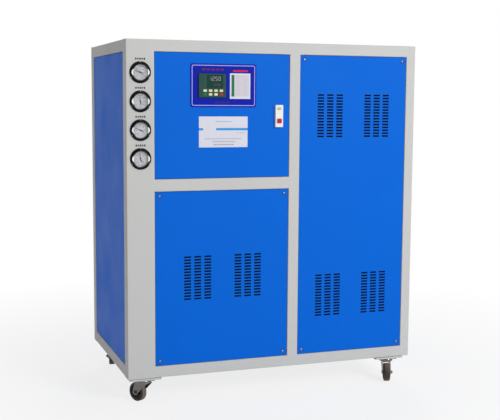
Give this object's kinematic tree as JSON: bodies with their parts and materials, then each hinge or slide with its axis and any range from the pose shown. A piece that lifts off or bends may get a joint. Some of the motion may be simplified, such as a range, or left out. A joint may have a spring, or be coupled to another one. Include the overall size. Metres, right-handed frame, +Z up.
{
  "type": "water-cooled chiller",
  "caption": "Water-cooled chiller in a sheet steel cabinet on swivel castors, with pressure gauges, a control panel and louvred panels; it cools process water.",
  "frame": {"origin": "on the floor under the middle of the cabinet", "axes": "+Z up, the front with its gauges and controls faces -Y, +X to the right as seen from the front"},
  "size_m": [1.213, 0.7669, 1.4043],
  "materials": {
    "frame_paint": "powder coat, satin, light grey",
    "panel_paint": "powder coat, satin, blue",
    "galvanised": "galvanised sheet",
    "zinc": "zinc plated pressing",
    "wheel": "moulded, dark brown grey",
    "gauge_black": "black enamel",
    "gauge_dial": "printed light grey dial",
    "gauge_glass": "clear",
    "needle_black": "black lacquer",
    "overlay": "dark blue film",
    "controller_green": "dark green face",
    "key_cream": "cream keys",
    "card_white": "white printed card",
    "switch_white": "white moulding",
    "button_beige": "beige moulding",
    "button_red": "red moulding",
    "socket_brass": "turned brass",
    "gland_black": "black nylon"
  },
  "bodies": {
    "cabinet": {"back_lower_panel": "panel_paint", "back_tall_panel": "panel_paint", "back_upper_panel": "panel_paint", "base_pan": "galvanised", "bottom_rail_back": "frame_paint", "bottom_rail_front": "frame_paint", "bottom_rail_left": "frame_paint", "bottom_rail_right": "frame_paint", "cable_gland": "gland_black", "castor_pads": "frame_paint", "castor_plates": "zinc", "chilled_water_inlet": "socket_brass", "chilled_water_outlet": "socket_brass", "control_overlay": "overlay", "control_panel": "panel_paint", "controller": "controller_green", "controller_keys": "key_cream", "cooling_water_inlet": "socket_brass", "cooling_water_outlet": "socket_brass", "gauge_cases": "gauge_black", "gauge_dials": "gauge_dial", "gauge_glasses": "gauge_glass", "gauge_needles": "needle_black", "instruction_card": "card_white", "left_side_panel": "panel_paint", "lower_left_panel": "panel_paint", "mid_post_back": "frame_paint", "mid_post_front": "frame_paint", "mid_rail_back": "frame_paint", "mid_rail_front": "frame_paint", "name_card": "card_white", "post_back_left": "frame_paint", "post_back_right": "frame_paint", "post_front_left": "frame_paint", "post_front_right": "frame_paint", "right_panel": "panel_paint", "right_side_panel": "panel_paint", "roof_panel": "frame_paint", "switch_housing": "switch_white", "top_rail_back": "frame_paint", "top_rail_front": "frame_paint", "top_rail_left": "frame_paint", "top_rail_right": "frame_paint"},
    "castor_fork_front_left": {"castor_fork_front_left": "zinc"},
    "castor_wheel_front_left": {"castor_wheel_front_left": "wheel"},
    "castor_fork_front_right": {"castor_fork_front_right": "zinc"},
    "castor_wheel_front_right": {"castor_wheel_front_right": "wheel"},
    "castor_fork_back_left": {"castor_fork_back_left": "zinc"},
    "castor_wheel_back_left": {"castor_wheel_back_left": "wheel"},
    "castor_fork_back_right": {"castor_fork_back_right": "zinc"},
    "castor_wheel_back_right": {"castor_wheel_back_right": "wheel"},
    "start_button": {"start_button": "button_beige"},
    "stop_button": {"stop_button": "button_red"}
  },
  "joints": [
    {"name": "front_left_castor_swivel", "type": "hinge", "parent": "cabinet", "child": "castor_fork_front_left", "pos_m": [-0.5355, -0.312, 0], "axis": [0, 0, 1], "continuous": true},
    {"name": "front_left_castor_roll", "type": "hinge", "parent": "castor_fork_front_left", "child": "castor_wheel_front_left", "pos_m": [-0.55299, -0.28401, 0.0375], "axis": [-0.848, -0.5299, 0], "continuous": true},
    {"name": "front_right_castor_swivel", "type": "hinge", "parent": "cabinet", "child": "castor_fork_front_right", "pos_m": [0.5195, -0.312, 0], "axis": [0, 0, 1], "continuous": true},
    {"name": "front_right_castor_roll", "type": "hinge", "parent": "castor_fork_front_right", "child": "castor_wheel_front_right", "pos_m": [0.50876, -0.3432, 0.0375], "axis": [0.9455, -0.3256, 0], "continuous": true},
    {"name": "back_left_castor_swivel", "type": "hinge", "parent": "cabinet", "child": "castor_fork_back_left", "pos_m": [-0.5355, 0.312, 0], "axis": [0, 0, 1], "continuous": true},
    {"name": "back_left_castor_roll", "type": "hinge", "parent": "castor_fork_back_left", "child": "castor_wheel_back_left", "pos_m": [-0.5418, 0.27961, 0.0375], "axis": [0.9816, -0.1908, 0], "continuous": true},
    {"name": "back_right_castor_swivel", "type": "hinge", "parent": "cabinet", "child": "castor_fork_back_right", "pos_m": [0.5195, 0.312, 0], "axis": [0, 0, 1], "continuous": true},
    {"name": "back_right_castor_roll", "type": "hinge", "parent": "castor_fork_back_right", "child": "castor_wheel_back_right", "pos_m": [0.503, 0.28342, 0.0375], "axis": [0.866, -0.5, 0], "continuous": true},
    {"name": "start_button_press", "type": "slide", "parent": "cabinet", "child": "start_button", "axis": [0, 1, 0], "range_m": [0, 0.003], "stiffness_N_per_m": 300, "springref_m": -0.003},
    {"name": "stop_button_press", "type": "slide", "parent": "cabinet", "child": "stop_button", "axis": [0, 1, 0], "range_m": [0, 0.003], "stiffness_N_per_m": 300, "springref_m": -0.003}
  ]
}
